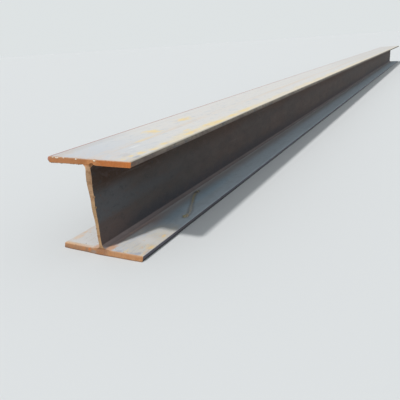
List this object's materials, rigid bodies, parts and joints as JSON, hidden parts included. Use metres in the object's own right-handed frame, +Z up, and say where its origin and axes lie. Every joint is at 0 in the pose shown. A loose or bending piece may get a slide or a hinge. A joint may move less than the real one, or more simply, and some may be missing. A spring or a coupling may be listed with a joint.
{
  "type": "steel h-beam",
  "caption": "Rolled wide-flange steel H-beam lying on its lower flange: parallel flanges, rounded web roots, one rough torch-cut end and one square sawn end.",
  "frame": {"origin": "on the underside of the lower flange, under the middle of the bar's length and width", "axes": "+X across the flanges, +Y along the bar from the torch-cut end to the sawn end, +Z up the web"},
  "size_m": [0.4, 11.9999, 0.4],
  "materials": {
    "rolled_steel": "hot-rolled mill scale, dusty and weathered, with rust streaks and an orange-rusted torch-cut end"
  },
  "bodies": {
    "root": {"h_beam": "rolled_steel"}
  },
  "joints": []
}
